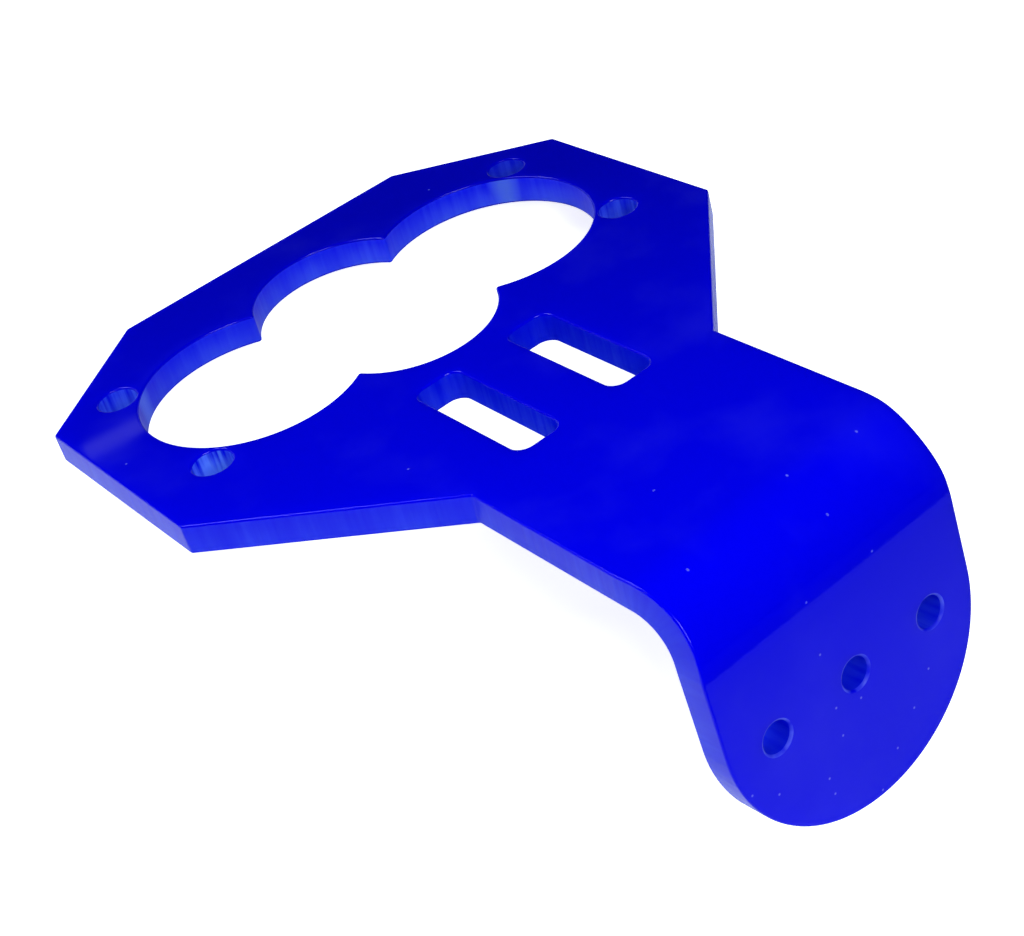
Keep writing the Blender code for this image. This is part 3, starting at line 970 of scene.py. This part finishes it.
# ---------------------------------------------------------------- operators
class BRACKET_OT_cut_and_bend(bpy.types.Operator):
    """Cut the sheet, ease its edges, bend its tab down and lay it where the part lies"""

    bl_idname = "bracket.cut_and_bend"
    bl_label = "Cut and Bend Sheet"

    def execute(self, context):
        sizes = context.scene.bracket_sizes
        look = context.scene.acrylic_look
        blank = outline_object("bracket_blank", blank_cells(sizes))
        window = outline_object("sensor_window", [window_outline(sizes)])
        add_tree(blank, cut_sheet_tree(), {
            "Sheet Thickness": sizes.sheet_thickness,
            "Sensor Window": window,
            "Screw Place": sizes.screw_place(),
            "Screw Radius": sizes.screw_diameter / 2,
            "Slot Pitch": sizes.slot_pitch,
            "Slot Width": sizes.slot_width,
            "Slot Length": sizes.slot_length,
            "Slot Corner Radius": sizes.slot_corner_radius,
            "Slot Centre Y": sizes.slot_centre_y(),
            "Tab Hole Pitch": sizes.tab_hole_pitch,
            "Tab Hole Radius": sizes.tab_hole_diameter / 2,
            "Tab Hole Y": sizes.bend_end_y() - sizes.tab_hole_setback,
            "Rim Share": sizes.rim_ease / sizes.corner_ease,
            "Face": cast_acrylic_face(look),
        })
        sheet = shape_of("flat_sheet", blank)
        bpy.data.objects.remove(window, do_unlink=True)
        if not sheet.data.polygons:
            raise RuntimeError("the sheet could not be cut")

        rim = melted_rim_with_painted_highlight(look)
        walls = {}
        for part, name, roughness, specular, relief, body, frost in (
            ("Outline Wall", "outline", 0.25, 0.18, 0.3, look.wall_blue, look.wall_frost),
            ("Window Wall", "window", 0.35, 0.12, 0.2, look.wall_blue, look.window_frost),
            ("Hole Wall", "hole", 0.5, 0.0, 0.6, look.hole_blue, look.hole_frost),
        ):
            walls[part] = laser_cut_wall(
                sizes, look, f"laser_cut_{name}_wall", roughness, specular, relief, body, frost
            )
        ease = sheet.modifiers.new("Ease Edges", "BEVEL")
        ease.limit_method = "WEIGHT"
        ease.width = sizes.corner_ease
        ease.segments = EASE_SEGMENTS
        ease.loop_slide = False
        ease.use_clamp_overlap = False
        add_tree(sheet, bend_sheet_tree(), {
            "Sheet Thickness": sizes.sheet_thickness,
            "Half Width": sizes.neck_width / 2,
            "Bend Start Y": sizes.bend_start_y(),
            "Bend Inner Radius": sizes.bend_inner_radius,
            "Bend Angle": sizes.bend_angle,
            "Outer Edge Draw": sizes.outer_edge_draw,
            "Inner Edge Draw": sizes.inner_edge_draw,
            "Edge Run Out": sizes.edge_run_out,
            "Rest Tilt": sizes.rest_tilt(),
            "Resting Place": tuple(sizes.resting_place()),
            "Rim": rim,
            **walls,
        })
        even = sheet.modifiers.new("Even Normals", "WEIGHTED_NORMAL")
        even.keep_sharp = True
        bracket = shape_of("bent_bracket", sheet)
        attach(bracket, BODY)
        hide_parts(PART_NODE)
        return {"FINISHED"}


def soft_box(name, place, aim, width, height, watts):
    """A rectangular soft lamp, aimed at a point."""
    data = bpy.data.lights.new(name, "AREA")
    data.shape = "RECTANGLE"
    data.size = width
    data.size_y = height
    data.energy = watts
    lamp = bpy.data.objects.new(name, data)
    lamp.location = place
    lamp.visible_camera = False
    lamp.rotation_euler = (Vector(aim) - Vector(place)).to_track_quat("-Z", "Y").to_euler()
    bpy.context.scene.collection.objects.link(lamp)


class BRACKET_OT_set_stage(bpy.types.Operator):
    """Lay out the pale floor, the soft lamps and the camera"""

    bl_idname = "bracket.set_stage"
    bl_label = "Set Stage"

    def execute(self, context):
        studio = context.scene.studio_setup
        bpy.ops.mesh.primitive_circle_add(
            vertices=FLOOR_SIDES, radius=studio.floor_radius, fill_type="NGON",
            location=(0.0, 0.0, NODE_LOW[2]),
        )
        floor = context.object
        floor.name = "studio_floor"
        floor.data.materials.append(studio_floor_paper(studio))

        for name, place, aim, width, height, watts in (
            ("key_box", (-0.07, -0.26, 0.31), (0.0, -0.01, 0.0), 0.2, 0.2, studio.key_power),
            (
                "streak_strip", (0.105, 0.51, 0.118), (-0.025, 0.026, 0.007), 0.024, 0.005,
                studio.streak_power,
            ),
            ("back_box", (-0.22, 0.30, 0.35), (0.0, 0.0, 0.0), 0.3, 0.3, studio.fill_power),
        ):
            soft_box(name, place, aim, width, height, watts)

        world = bpy.data.worlds.new("studio_world")
        world.use_nodes = True
        tree = world.node_tree
        background = tree.nodes["Background"]
        seen = add_node(tree, "ShaderNodeLightPath")["Is Camera Ray"]
        surround = linear_colour(studio.surround_colour)
        shade = add_node(
            tree, "ShaderNodeMix", COLOURS, {"Factor": seen, "A": surround, "B": linear_colour(WHITE)}
        )
        tree.links.new(shade["Result"], background.inputs["Color"])
        context.scene.world = world
        context.scene.view_settings.view_transform = "Standard"

        data = bpy.data.cameras.new("studio_camera")
        data.lens = studio.camera_lens
        data.sensor_width = SENSOR_WIDTH
        data.clip_start = MM
        camera = bpy.data.objects.new("studio_camera", data)
        camera.location = studio.camera_place
        camera.rotation_euler = studio.camera_turn
        context.scene.collection.objects.link(camera)
        context.scene.camera = camera
        return {"FINISHED"}


class BRACKET_PT_sidebar(bpy.types.Panel):
    """Sizes, looks and steps of the bracket"""

    bl_label = "Acrylic Sensor Bracket"
    bl_idname = "BRACKET_PT_sidebar"
    bl_space_type = "VIEW_3D"
    bl_region_type = "UI"
    bl_category = "Bracket"

    def draw(self, context):
        scene = context.scene
        for title, group, operator in (
            ("Sheet", scene.bracket_sizes, BRACKET_OT_cut_and_bend),
            ("Acrylic", scene.acrylic_look, None),
            ("Stage", scene.studio_setup, BRACKET_OT_set_stage),
        ):
            box = self.layout.box()
            box.label(text=title)
            for name in group.__annotations__:
                box.prop(group, name)
            if operator is not None:
                box.operator(operator.bl_idname)


CLASSES = (
    BracketSizes,
    AcrylicLook,
    StudioSetup,
    BRACKET_OT_cut_and_bend,
    BRACKET_OT_set_stage,
    BRACKET_PT_sidebar,
)


def register():
    for cls in CLASSES:
        bpy.utils.register_class(cls)
    bpy.types.Scene.bracket_sizes = PointerProperty(type=BracketSizes)
    bpy.types.Scene.acrylic_look = PointerProperty(type=AcrylicLook)
    bpy.types.Scene.studio_setup = PointerProperty(type=StudioSetup)


def unregister():
    del bpy.types.Scene.studio_setup
    del bpy.types.Scene.acrylic_look
    del bpy.types.Scene.bracket_sizes
    for cls in reversed(CLASSES):
        bpy.utils.unregister_class(cls)


def main():
    register()
    bpy.ops.bracket.cut_and_bend()
    bpy.ops.bracket.set_stage()


if __name__ == "__main__":
    main()
